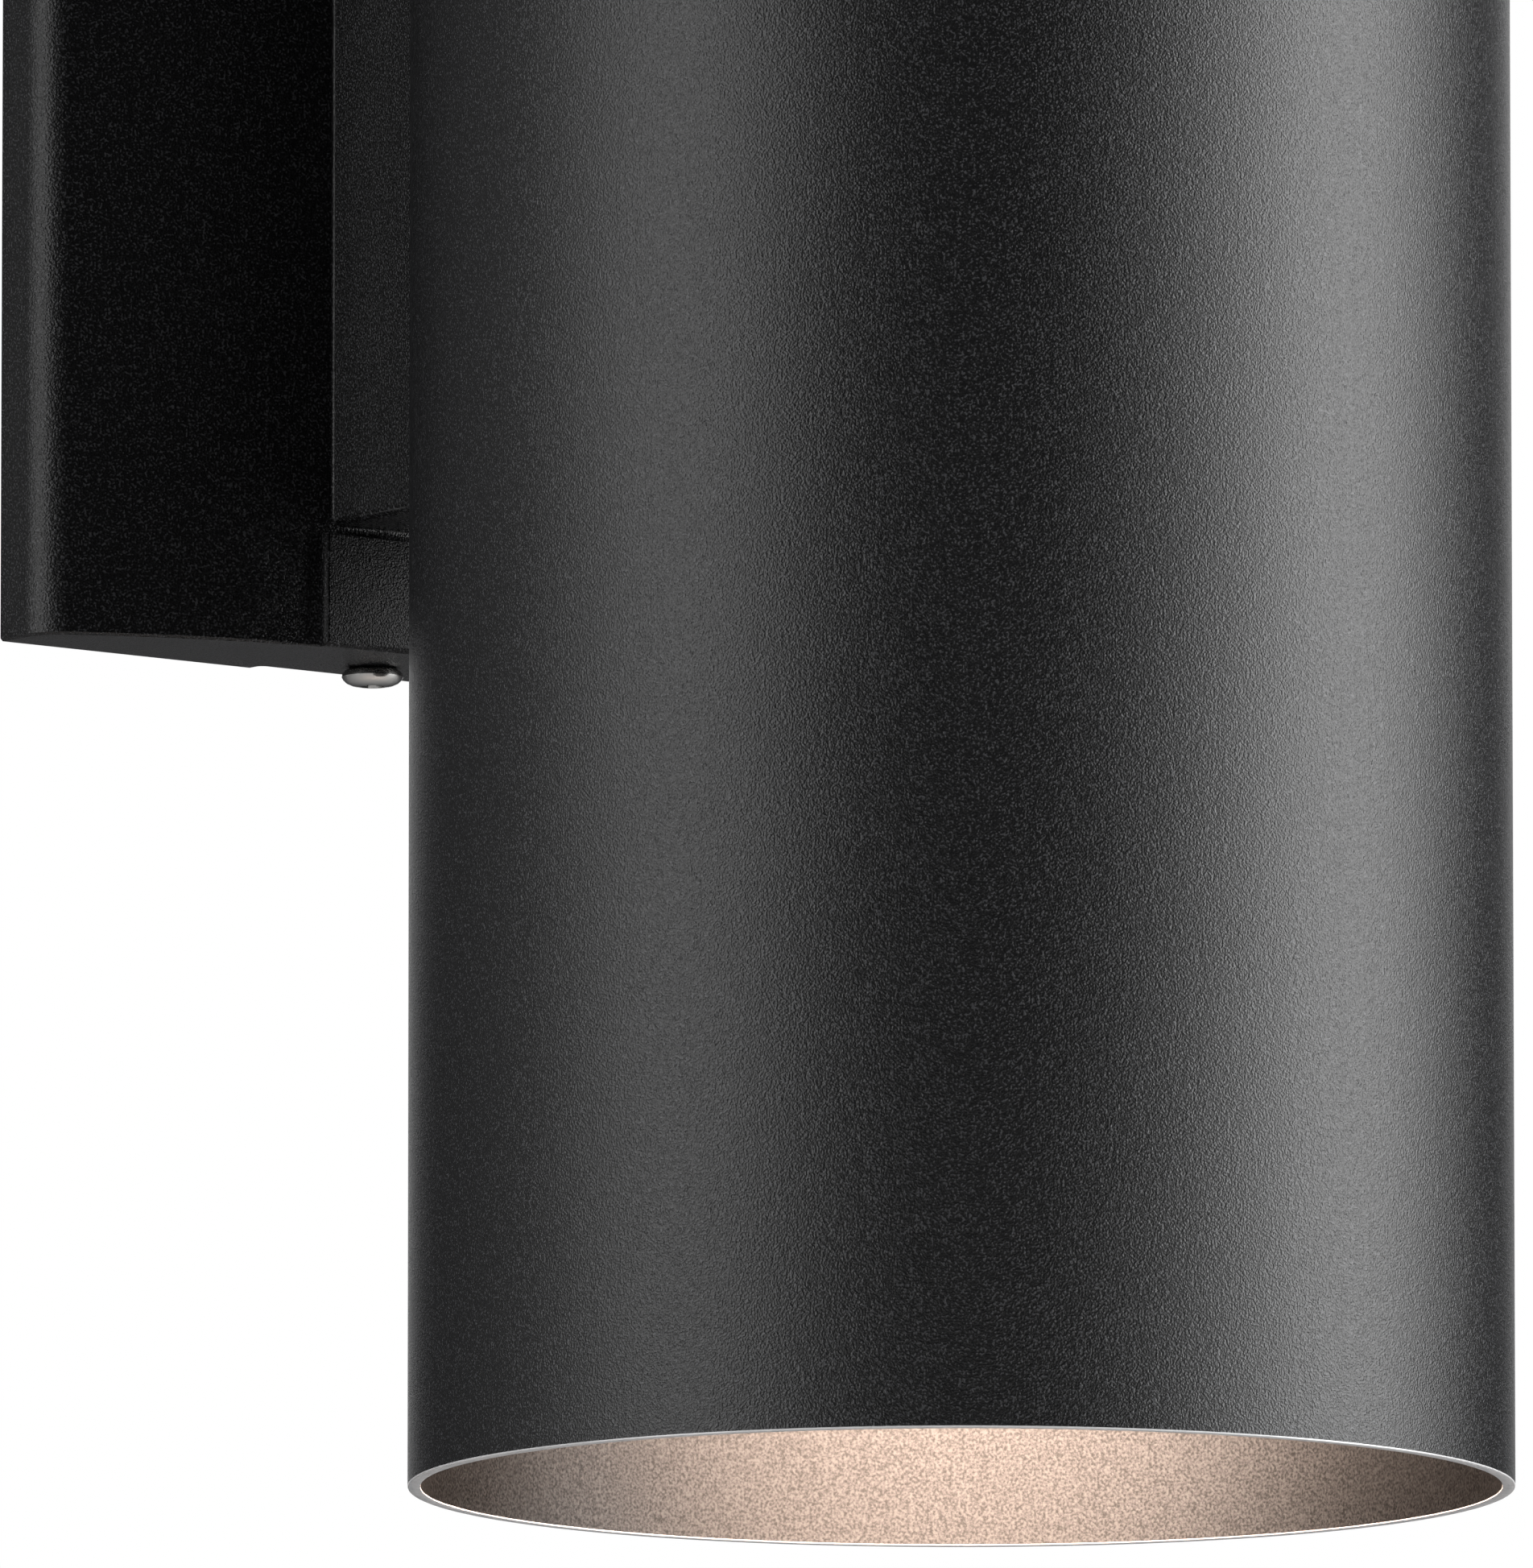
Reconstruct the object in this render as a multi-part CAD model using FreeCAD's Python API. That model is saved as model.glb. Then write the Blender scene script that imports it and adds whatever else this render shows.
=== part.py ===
"""Outdoor wall cylinder that lights up and down, held on a cast canopy over a wall box.

A wide extruded tube stands upright in front of the wall. A cast canopy with a bowed face
covers the wiring, and its hollow arm reaches out to the tube. Inside the tube a clamp block,
an angled bridge and two lampholders back to back carry two reflector lamps. The lower end
is open, and a clear lens keeps the rain out of the upper end.

Millimetres. The wall is the plane y = 0, the light stands out towards -Y, Z is up, and the
origin is on the wall at the middle of the canopy.
"""
import FreeCAD, Part

import math
import os

from FreeCAD import Vector

# Tube: an extrusion, cut square, with its two rims broken by a small radius.
TUBE_OD = 152.4
TUBE_WALL = 1.8
TUBE_LENGTH = 457.2
TUBE_REACH = 144.0            # wall to the tube's axis
TUBE_LIP = 0.5                # both edges of each rim are broken by this much

# Canopy: an open-backed casting with a bowed face, a flat land above and below the arm,
# and a weep notch in the lower edge where it meets the wall.
CANOPY_WIDTH = 117.0
CANOPY_HEIGHT = 200.0
CANOPY_DEPTH = 25.4
CANOPY_FACE_RADIUS = 116.0
CANOPY_CORNER_RADIUS = 6.6
CANOPY_EDGE = 0.4
CANOPY_WALL = 2.5
LAND_WIDTH = 39.4
LAND_HEIGHT = 16.1
LAND_EDGE = 0.25
LAND_END_EDGE = 0.75          # softer edge at the canopy's end
WEEP_WIDTH = 29.0
WEEP_DEPTH = 2.7
WEEP_CORNER_RADIUS = 1.2

# Arm: hollow, cast with the canopy, its end coped to the tube.
ARM_WIDTH = 35.8
ARM_TO_LAND = 1.3             # groove between the arm and each land
ARM_WALL = 3.0
ARM_EDGE_RADIUS = 1.5
ARM_ROOT_RADIUS = 0.45
ARM_END_WALL = 6.0

# Wall strap behind the canopy, slotted for boxes with screws 69.9 to 88.9 mm apart.
STRAP_WIDTH = 38.0
STRAP_SHEET = 2.0
STRAP_TAB = 18.0
STRAP_BEND = 1.0
STRAP_CORNER = 4.0
BOX_SPACING_SMALL = 69.85
BOX_SPACING_LARGE = 88.9
BOX_SLOT_WIDTH = 4.8
GROUND_SCREW_HEIGHT = 18.0

# Screws: head diameter, head height and thread diameter.
CANOPY_SCREW = (8.8, 2.6, 4.0)
CANOPY_SCREW_FROM_WALL = 9.8
CANOPY_SCREW_LENGTH = 12.0
GROUND_SCREW = (8.0, 2.4, 4.0)
TUBE_SCREW = (9.0, 3.0, 5.0)
TUBE_SCREW_SPACING_X = 18.0
TUBE_SCREW_SPACING_Z = 110.0
BRIDGE_SCREW = (7.6, 2.4, 4.0)
BRIDGE_SCREW_SPACING = 18.0
BRIDGE_SCREW_DROP = 30.0      # below the bridge's shelf
BRIDGE_SCREW_BITE = 3.5       # thread in the clamp block
HOLDER_BOLT = (7.6, 2.4, 4.0)
HOLDER_BOLT_RADIUS = 21.5     # tube's axis to the bolt
HOLDER_NUT_WIDTH = 7.0
HOLDER_NUT_HEIGHT = 3.2

# Clamp block inside the tube, and the bushing that takes the leads through.
CLAMP_WIDTH = 34.0
CLAMP_HEIGHT = 130.0
CLAMP_THICKNESS = 6.0
CLAMP_EDGE_RADIUS = 3.0
WIRE_HOLE_RADIUS = 8.0
WIRE_HOLE_HEIGHT = 24.0
BUSHING_BORE_RADIUS = 5.5
BUSHING_FLANGE_RADIUS = 10.0
BUSHING_FLANGE = 1.5

# Bridge: bent sheet, its leg on the clamp block and its shelf across the tube's axis.
BRIDGE_SHEET = 2.0
BRIDGE_LEG_WIDTH = 30.0
BRIDGE_LEG_HEIGHT = 44.0
BRIDGE_BEND = 1.2
BRIDGE_PAD_RADIUS = 28.0
LEAD_HOLE_RADIUS = 6.0
LEAD_HOLE_FROM_AXIS = 43.0

# Lampholder, medium screw base: heights are from the bridge's shelf.
HOLDER_FLANGE_RADIUS = 26.0
HOLDER_FLANGE = 8.0
HOLDER_HEIGHT = 38.0
HOLDER_WALL = 3.2
HOLDER_FLOOR = 9.0
HOLDER_ROUND = 1.5
SHELL_SHEET = 0.5
SHELL_LENGTH = 26.5
SHELL_HOLE_RADIUS = 8.0
SOCKET_CONTACT_RADIUS = 5.0
SOCKET_CONTACT_BASE = 0.8
SOCKET_CONTACT_HEIGHT = 3.0
SOCKET_BUTTON_RADIUS = 2.5

# Reflector lamp with a medium screw base: heights are from the tip of its contact.
LAMP_RADIUS = 60.5
LAMP_LENGTH = 135.0
LAMP_BASE_RADIUS = 13.1
LAMP_BASE_TOP = 27.0
LAMP_SKIRT_RADIUS = 19.0
LAMP_SKIRT_TOP = 41.0
LAMP_SHEET = 0.5
LAMP_CONTACT_RADIUS = 4.8
LAMP_CONTACT_HEIGHT = 1.4
LAMP_INSULATOR_TOP = 5.0
LAMP_GLASS = 2.4
LAMP_CONES = 3
LAMP_BAND_HEIGHT = 113.0
LAMP_RIM_HEIGHT = 126.0
LAMP_LENS_GLASS = 4.0

# Upper lens, its seat, gasket and retaining ring.
LENS_RECESS = 8.0             # upper rim to the lens
LENS_THICKNESS = 4.0
LENS_GASKET = 1.5
LENS_SEAT_WIDTH = 6.0
LENS_SEAT_HEIGHT = 5.0
LENS_RING_WIRE = 2.4

# Clearances.
SCREW_GAP = 0.15              # round a thread or a shank in its hole
SEAT_GAP = 0.15               # between curved faces that seat on each other
SHELL_GAP = 0.15              # lampholder shell in its porcelain
LAMP_GAP = 0.4                # lamp base in the shell
CONTACT_GAP = 0.3             # lamp tip over the socket's contact
TAB_GAP = 0.5                 # strap's tab inside the canopy
BUSHING_GAP = 0.2
LENS_GAP = 0.5                # lens in the tube

# Worked out from the sizes above.
TUBE_RADIUS = TUBE_OD / 2
BORE_RADIUS = TUBE_RADIUS - TUBE_WALL
AXIS_Y = -TUBE_REACH
ARM_HEIGHT = CANOPY_HEIGHT - 2 * (LAND_HEIGHT + ARM_TO_LAND)
ARM_CAVITY_Y = AXIS_Y + TUBE_RADIUS + ARM_END_WALL
CLAMP_FACE_Y = AXIS_Y + BORE_RADIUS - SEAT_GAP - CLAMP_THICKNESS
SHELF_TOP = BRIDGE_SHEET / 2
STRAP_END = CANOPY_HEIGHT / 2 - CANOPY_WALL - TAB_GAP
SOCKET_RADIUS = LAMP_BASE_RADIUS + LAMP_GAP + SHELL_SHEET + SHELL_GAP
LAMP_TIP = SHELF_TOP + HOLDER_FLOOR + SOCKET_CONTACT_HEIGHT + CONTACT_GAP


def box(x, y, z):
    """A block between three pairs of limits."""
    corner = Vector(min(x), min(y), min(z))
    return Part.makeBox(abs(x[1] - x[0]), abs(y[1] - y[0]), abs(z[1] - z[0]), corner)


def both_ways(half):
    """Limits that lie evenly on both sides of a centre plane."""
    return (-half, half)


def rod(radius, start, end):
    """A round bar from one point to another."""
    axis = end - start
    return Part.makeCylinder(radius, axis.Length, start, axis)


def edges_along(shape, direction, keep=lambda centre: True):
    """Straight edges parallel to a direction, kept by where their middles lie."""
    found = []
    for edge in shape.Edges:
        if edge.Curve.TypeId != "Part::GeomLine":
            continue
        if abs(edge.tangentAt(edge.FirstParameter).dot(direction)) > 0.999:
            if keep(edge.CenterOfMass):
                found.append(edge)
    return found


def outline(start, *steps):
    """A face in the XZ plane; a step is a point, or a pair: a point on an arc and its end."""
    def at(point):
        return Vector(point[0], 0, point[1])

    edges = []
    here = at(start)
    for step in steps + (start,):
        if isinstance(step[0], tuple):
            edges.append(Part.Arc(here, at(step[0]), at(step[1])).toShape())
            here = at(step[1])
        elif (at(step) - here).Length > 1e-6:
            edges.append(Part.LineSegment(here, at(step)).toShape())
            here = at(step)
    return Part.Face(Part.Wire(edges))


def turned(face, side=1, height=0.0):
    """A face turned round the tube's axis; side -1 mirrors it to the lower half."""
    solid = face.revolve(Vector(0, 0, 0), Vector(0, 0, 1), 360)
    solid.translate(Vector(0, AXIS_Y, height))
    return solid if side > 0 else solid.mirror(Vector(0, 0, 0), Vector(0, 0, 1))


def screw(size, length, seat, direction):
    """A pan-head screw; seat is the point under the head, and the thread runs on from it."""
    head_diameter, head_height, thread = size
    radius = head_diameter / 2
    head = outline((0, -length), (thread / 2, -length), (thread / 2, 0), (radius, 0),
                   (radius, 0.45 * head_height), (0.62 * radius, head_height), (0, head_height))
    solid = head.revolve(Vector(0, 0, 0), Vector(0, 0, 1), 360)
    solid.Placement = FreeCAD.Placement(seat, FreeCAD.Rotation(Vector(0, 0, -1), direction))
    return solid


def canopy_prism(width, depth, face_radius, corner_radius, height, back):
    """The canopy's plan, with straight sides and one shallow arc in front, drawn upwards."""
    half = width / 2
    side = depth - face_radius + math.sqrt(face_radius ** 2 - half ** 2)
    left, right = Vector(-half, -side, -height / 2), Vector(half, -side, -height / 2)
    apex = Vector(0, -depth, -height / 2)
    back_left, back_right = Vector(-half, back, -height / 2), Vector(half, back, -height / 2)
    wire = Part.Wire([Part.LineSegment(back_left, left).toShape(),
                      Part.Arc(left, apex, right).toShape(),
                      Part.LineSegment(right, back_right).toShape(),
                      Part.LineSegment(back_right, back_left).toShape()])
    prism = Part.Face(wire).extrude(Vector(0, 0, height))
    corners = edges_along(prism, Vector(0, 0, 1), lambda middle: middle.y < back - 1)
    return prism.makeFillet(corner_radius, corners)


def canopy_body():
    """Outside of the canopy: the bowed prism with its front and end edges softened."""
    body = canopy_prism(CANOPY_WIDTH, CANOPY_DEPTH, CANOPY_FACE_RADIUS,
                        CANOPY_CORNER_RADIUS, CANOPY_HEIGHT, 0)
    half = CANOPY_HEIGHT / 2
    ends = [edge for edge in body.Edges
            if abs(abs(edge.CenterOfMass.z) - half) < 0.01 and edge.CenterOfMass.y < -0.1]
    return body.makeChamfer(CANOPY_EDGE, ends)


def land(side):
    """Flat land between the arm and one end of the canopy."""
    end = side * CANOPY_HEIGHT / 2
    block = box(both_ways(LAND_WIDTH / 2), (-CANOPY_DEPTH, -CANOPY_DEPTH / 2),
                (end, end - side * LAND_HEIGHT))
    front = [edge for edge in block.Edges if abs(edge.CenterOfMass.y + CANOPY_DEPTH) < 0.01]
    outer = [edge for edge in front if abs(edge.CenterOfMass.z - end) < 0.01]
    block = block.makeChamfer(LAND_END_EDGE, outer)
    front = [edge for edge in block.Edges if abs(edge.CenterOfMass.y + CANOPY_DEPTH) < 0.01
             and abs(edge.CenterOfMass.z - end) > 2 * LAND_END_EDGE]
    return block.makeChamfer(LAND_EDGE, front)


def arm_body():
    """Outside of the arm, long enough to be coped by the tube."""
    block = box(both_ways(ARM_WIDTH / 2), (AXIS_Y, -CANOPY_DEPTH / 2), both_ways(ARM_HEIGHT / 2))
    return block.makeFillet(ARM_EDGE_RADIUS, edges_along(block, Vector(0, 1, 0)))


def arm_root(shape):
    """Edges where the arm stands on the bowed face."""
    centre = Vector(0, CANOPY_FACE_RADIUS - CANOPY_DEPTH, 0)
    found = []
    for edge in shape.Edges:
        middle = edge.CenterOfMass
        inside = abs(middle.x) < ARM_WIDTH / 2 + 0.01 and abs(middle.z) < ARM_HEIGHT / 2 + 0.01
        ends = [math.hypot(v.X - centre.x, v.Y - centre.y) for v in edge.Vertexes]
        if inside and all(abs(end - CANOPY_FACE_RADIUS) < 0.01 for end in ends):
            found.append(edge)
    return found


def cavity():
    """Space inside the canopy and the arm, open to the wall."""
    wall = CANOPY_WALL
    hollow = canopy_prism(CANOPY_WIDTH - 2 * wall, CANOPY_DEPTH - wall,
                          CANOPY_FACE_RADIUS - wall, max(CANOPY_CORNER_RADIUS - wall, 0.5),
                          CANOPY_HEIGHT - 2 * wall, 1)
    arm = box(both_ways(ARM_WIDTH / 2 - ARM_WALL), (ARM_CAVITY_Y, -CANOPY_DEPTH / 2),
              both_ways(ARM_HEIGHT / 2 - ARM_WALL))
    return hollow.fuse(arm)


def tube_screw_places():
    """X and Z of the four screws that hold the tube to the arm."""
    return [(x, z) for x in both_ways(TUBE_SCREW_SPACING_X / 2)
            for z in both_ways(TUBE_SCREW_SPACING_Z / 2)]


def tube_screw_holes():
    """Holes along Y through the arm's end, the tube and the clamp block."""
    radius = TUBE_SCREW[2] / 2 + SCREW_GAP
    holes = [rod(radius, Vector(x, CLAMP_FACE_Y - 1, z), Vector(x, ARM_CAVITY_Y + 1, z))
             for x, z in tube_screw_places()]
    leads = rod(WIRE_HOLE_RADIUS, Vector(0, CLAMP_FACE_Y - 1, WIRE_HOLE_HEIGHT),
                Vector(0, ARM_CAVITY_Y + 1, WIRE_HOLE_HEIGHT))
    return Part.makeCompound(holes + [leads])


def canopy():
    """Canopy and arm in one casting."""
    shape = canopy_body().fuse(arm_body())
    shape = shape.makeFillet(ARM_ROOT_RADIUS, arm_root(shape))
    shape = shape.fuse([land(1), land(-1)]).removeSplitter()
    shape = shape.cut(rod(TUBE_RADIUS + SEAT_GAP, Vector(0, AXIS_Y, -CANOPY_HEIGHT),
                          Vector(0, AXIS_Y, CANOPY_HEIGHT)))
    shape = shape.cut(cavity())
    screws = rod(CANOPY_SCREW[2] / 2 + 2 * SCREW_GAP,
                 Vector(0, -CANOPY_SCREW_FROM_WALL, -CANOPY_HEIGHT),
                 Vector(0, -CANOPY_SCREW_FROM_WALL, CANOPY_HEIGHT))
    notch = box(both_ways(WEEP_WIDTH / 2), (-WEEP_DEPTH, 1),
                (-CANOPY_HEIGHT / 2 - 1, -CANOPY_HEIGHT / 2 + CANOPY_WALL + 1))
    corners = edges_along(notch, Vector(0, 0, 1), lambda middle: middle.y < 0)
    notch = notch.makeFillet(WEEP_CORNER_RADIUS, corners)
    return shape.cut([screws, notch, tube_screw_holes()])


def canopy_screws():
    """One screw up through the canopy's underside and one down through its top."""
    half = CANOPY_HEIGHT / 2
    return [screw(CANOPY_SCREW, CANOPY_SCREW_LENGTH,
                  Vector(0, -CANOPY_SCREW_FROM_WALL, side * half), Vector(0, 0, -side))
            for side in (-1, 1)]


def wall_strap():
    """Bent strap on the wall box; its tabs take the canopy's screws."""
    strap = box(both_ways(STRAP_WIDTH / 2), (-STRAP_TAB, 0), both_ways(STRAP_END))
    inner = box(both_ways(STRAP_WIDTH), (-STRAP_TAB - 1, -STRAP_SHEET),
                both_ways(STRAP_END - STRAP_SHEET))
    inner = inner.makeFillet(STRAP_BEND, edges_along(
        inner, Vector(1, 0, 0), lambda middle: middle.y > -STRAP_TAB))
    strap = strap.makeFillet(STRAP_BEND + STRAP_SHEET, edges_along(
        strap, Vector(1, 0, 0), lambda middle: middle.y > -0.1))
    strap = strap.cut(inner)
    strap = strap.makeFillet(STRAP_CORNER, edges_along(
        strap, Vector(0, 0, 1), lambda middle: middle.y < -STRAP_TAB + 0.1))
    radius = BOX_SLOT_WIDTH / 2
    for side in (-1, 1):
        near, far = side * BOX_SPACING_SMALL / 2, side * BOX_SPACING_LARGE / 2
        slot = box(both_ways(radius), (-STRAP_SHEET - 1, 1), (near, far))
        for z in (near, far):
            slot = slot.fuse(rod(radius, Vector(0, -STRAP_SHEET - 1, z), Vector(0, 1, z)))
        strap = strap.cut(slot.removeSplitter())
    ground = rod(GROUND_SCREW[2] / 2 + SCREW_GAP, Vector(0, -STRAP_SHEET - 1, GROUND_SCREW_HEIGHT),
                 Vector(0, 1, GROUND_SCREW_HEIGHT))
    tabs = rod(CANOPY_SCREW[2] / 2 + SCREW_GAP,
               Vector(0, -CANOPY_SCREW_FROM_WALL, -CANOPY_HEIGHT),
               Vector(0, -CANOPY_SCREW_FROM_WALL, CANOPY_HEIGHT))
    return strap.cut([ground, tabs])


def ground_screw():
    """Green screw in the strap for the bare earth leads."""
    return screw(GROUND_SCREW, STRAP_SHEET - SCREW_GAP,
                 Vector(0, -STRAP_SHEET, GROUND_SCREW_HEIGHT), Vector(0, 1, 0))


def tube():
    """Extruded tube with broken rims and the holes for its screws and leads."""
    half = TUBE_LENGTH / 2
    lip = min(TUBE_LIP, 0.45 * TUBE_WALL)
    wall = outline((BORE_RADIUS, lip - half), (BORE_RADIUS + lip, -half),
                   (TUBE_RADIUS - lip, -half), (TUBE_RADIUS, lip - half),
                   (TUBE_RADIUS, half - lip), (TUBE_RADIUS - lip, half),
                   (BORE_RADIUS + lip, half), (BORE_RADIUS, half - lip))
    return turned(wall).cut(tube_screw_holes())


def clamp_block():
    """Block with its back curved to the tube's bore and a flat face for the screw heads."""
    radius = BORE_RADIUS - SEAT_GAP
    block = box(both_ways(CLAMP_WIDTH / 2), (CLAMP_FACE_Y, AXIS_Y + BORE_RADIUS),
                both_ways(CLAMP_HEIGHT / 2))
    block = block.makeFillet(CLAMP_EDGE_RADIUS, edges_along(block, Vector(0, 1, 0)))
    block = block.common(rod(radius, Vector(0, AXIS_Y, -CLAMP_HEIGHT), Vector(0, AXIS_Y, CLAMP_HEIGHT)))
    threads = [rod(BRIDGE_SCREW[2] / 2 + SCREW_GAP, Vector(x, CLAMP_FACE_Y - 1, -BRIDGE_SCREW_DROP),
                   Vector(x, CLAMP_FACE_Y + BRIDGE_SCREW_BITE + SCREW_GAP, -BRIDGE_SCREW_DROP))
               for x in both_ways(BRIDGE_SCREW_SPACING / 2)]
    return block.cut(threads + [tube_screw_holes()])


def tube_screws():
    """Four screws from inside the tube into the arm's end."""
    length = ARM_CAVITY_Y - CLAMP_FACE_Y - 1
    return [screw(TUBE_SCREW, length, Vector(x, CLAMP_FACE_Y, z), Vector(0, 1, 0))
            for x, z in tube_screw_places()]


def wire_bushing():
    """Flanged sleeve that keeps the leads off the edges of their hole."""
    start = Vector(0, CLAMP_FACE_Y, WIRE_HOLE_HEIGHT)
    end = Vector(0, ARM_CAVITY_Y, WIRE_HOLE_HEIGHT)
    lip = Vector(0, CLAMP_FACE_Y - BUSHING_FLANGE, WIRE_HOLE_HEIGHT)
    sleeve = rod(WIRE_HOLE_RADIUS - BUSHING_GAP, start, end).fuse(rod(BUSHING_FLANGE_RADIUS, lip, start))
    return sleeve.cut(rod(BUSHING_BORE_RADIUS, lip - Vector(0, 1, 0), end + Vector(0, 1, 0)))


def socket_bridge():
    """Angle of bent sheet: a leg on the clamp block and a tapered shelf for the lampholders."""
    leg = box(both_ways(BRIDGE_LEG_WIDTH / 2), (CLAMP_FACE_Y - BRIDGE_SHEET, CLAMP_FACE_Y),
              (SHELF_TOP - BRIDGE_LEG_HEIGHT, SHELF_TOP))
    half = BRIDGE_LEG_WIDTH / 2
    straight = CLAMP_FACE_Y - BRIDGE_SHEET - 2 * BRIDGE_BEND
    corners = [(half, CLAMP_FACE_Y), (half, straight), (BRIDGE_PAD_RADIUS, AXIS_Y),
               (-BRIDGE_PAD_RADIUS, AXIS_Y), (-half, straight), (-half, CLAMP_FACE_Y)]
    tail = Part.makePolygon([Vector(x, y, -SHELF_TOP) for x, y in corners + corners[:1]])
    shelf = Part.Face(tail).extrude(Vector(0, 0, BRIDGE_SHEET))
    pad = rod(BRIDGE_PAD_RADIUS, Vector(0, AXIS_Y, -SHELF_TOP), Vector(0, AXIS_Y, SHELF_TOP))
    shape = leg.fuse([shelf, pad]).removeSplitter()
    shape = shape.makeFillet(BRIDGE_BEND + BRIDGE_SHEET, edges_along(
        shape, Vector(1, 0, 0),
        lambda middle: middle.y > CLAMP_FACE_Y - 0.1 and middle.z > SHELF_TOP - 0.1))
    shape = shape.makeFillet(BRIDGE_BEND, edges_along(
        shape, Vector(1, 0, 0),
        lambda middle: abs(middle.y - CLAMP_FACE_Y + BRIDGE_SHEET) < 0.1
        and abs(middle.z + SHELF_TOP) < 0.1))
    cuts = [rod(BRIDGE_SCREW[2] / 2 + 2 * SCREW_GAP,
                Vector(x, CLAMP_FACE_Y - BRIDGE_SHEET - 1, -BRIDGE_SCREW_DROP),
                Vector(x, CLAMP_FACE_Y + 1, -BRIDGE_SCREW_DROP))
            for x in both_ways(BRIDGE_SCREW_SPACING / 2)]
    cuts += [rod(HOLDER_BOLT[2] / 2 + SCREW_GAP, Vector(x, AXIS_Y, -2 * SHELF_TOP),
                 Vector(x, AXIS_Y, 2 * SHELF_TOP)) for x in both_ways(HOLDER_BOLT_RADIUS)]
    lead_y = AXIS_Y + LEAD_HOLE_FROM_AXIS
    cuts.append(rod(LEAD_HOLE_RADIUS, Vector(0, lead_y, -2 * SHELF_TOP),
                    Vector(0, lead_y, 2 * SHELF_TOP)))
    return shape.cut(cuts)


def bridge_screws():
    """Two screws through the bridge's leg into the clamp block."""
    seat_y = CLAMP_FACE_Y - BRIDGE_SHEET
    return [screw(BRIDGE_SCREW, BRIDGE_SHEET + BRIDGE_SCREW_BITE,
                  Vector(x, seat_y, -BRIDGE_SCREW_DROP), Vector(0, 1, 0))
            for x in both_ways(BRIDGE_SCREW_SPACING / 2)]


def lampholder(side):
    """Porcelain body: a round flange with two bolt holes and a deep socket."""
    body = SOCKET_RADIUS + HOLDER_WALL
    shape = turned(outline(
        (0, 0), (HOLDER_FLANGE_RADIUS, 0), (HOLDER_FLANGE_RADIUS, HOLDER_FLANGE - HOLDER_ROUND),
        (HOLDER_FLANGE_RADIUS - HOLDER_ROUND, HOLDER_FLANGE), (body, HOLDER_FLANGE),
        (body, HOLDER_HEIGHT - HOLDER_ROUND / 2), (body - HOLDER_ROUND / 2, HOLDER_HEIGHT),
        (SOCKET_RADIUS, HOLDER_HEIGHT), (SOCKET_RADIUS, HOLDER_FLOOR), (0, HOLDER_FLOOR)),
        side, SHELF_TOP)
    holes = [rod(HOLDER_BOLT[2] / 2 + SCREW_GAP, Vector(x, AXIS_Y, 0),
                 Vector(x, AXIS_Y, side * (SHELF_TOP + HOLDER_FLANGE + 1)))
             for x in both_ways(HOLDER_BOLT_RADIUS)]
    return shape.cut(holes)


def holder_bolts():
    """Two bolts through both flanges and the shelf, heads above."""
    top = SHELF_TOP + HOLDER_FLANGE
    return [screw(HOLDER_BOLT, 2 * top + HOLDER_NUT_HEIGHT, Vector(x, AXIS_Y, top), Vector(0, 0, -1))
            for x in both_ways(HOLDER_BOLT_RADIUS)]


def holder_nuts():
    """Hexagon nuts under the lower flange."""
    under = -(SHELF_TOP + HOLDER_FLANGE)
    across = HOLDER_NUT_WIDTH / math.sqrt(3)
    nuts = []
    for x in both_ways(HOLDER_BOLT_RADIUS):
        points = [Vector(x + across * math.cos(math.radians(60 * turn)),
                         AXIS_Y + across * math.sin(math.radians(60 * turn)), under)
                  for turn in range(7)]
        nut = Part.Face(Part.makePolygon(points)).extrude(Vector(0, 0, -HOLDER_NUT_HEIGHT))
        nuts.append(nut.cut(rod(HOLDER_BOLT[2] / 2 + SCREW_GAP, Vector(x, AXIS_Y, 0),
                                Vector(x, AXIS_Y, 2 * under))))
    return nuts


def socket_shell(side):
    """Metal sleeve in the socket, its floor open round the contact."""
    outer = SOCKET_RADIUS - SHELL_GAP
    inner = outer - SHELL_SHEET
    return turned(outline((SHELL_HOLE_RADIUS, 0), (outer, 0), (outer, SHELL_LENGTH),
                          (inner, SHELL_LENGTH), (inner, SHELL_SHEET),
                          (SHELL_HOLE_RADIUS, SHELL_SHEET)), side, SHELF_TOP + HOLDER_FLOOR)


def socket_contact(side):
    """Centre contact on the socket's floor, with a domed button."""
    button = SOCKET_BUTTON_RADIUS
    rise = SOCKET_CONTACT_HEIGHT
    return turned(outline((0, 0), (SOCKET_CONTACT_RADIUS, 0),
                          (SOCKET_CONTACT_RADIUS, SOCKET_CONTACT_BASE),
                          (button, SOCKET_CONTACT_BASE), (button, 0.75 * rise),
                          (button / 2, rise), (0, rise)),
                  side, SHELF_TOP + HOLDER_FLOOR)


def lamp_contact(side):
    """Solder tip at the foot of the lamp."""
    radius = LAMP_CONTACT_RADIUS
    return turned(outline((0, 0), (0.6 * radius, 0), (radius, 0.6 * LAMP_CONTACT_HEIGHT),
                          (radius, LAMP_CONTACT_HEIGHT), (0, LAMP_CONTACT_HEIGHT)),
                  side, LAMP_TIP)


def lamp_insulator(side):
    """Dark glass cone between the tip and the screw shell."""
    return turned(outline((0, LAMP_CONTACT_HEIGHT), (LAMP_CONTACT_RADIUS + 1, LAMP_CONTACT_HEIGHT),
                          (LAMP_BASE_RADIUS - LAMP_SHEET, LAMP_INSULATOR_TOP),
                          (0, LAMP_INSULATOR_TOP)), side, LAMP_TIP)


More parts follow.
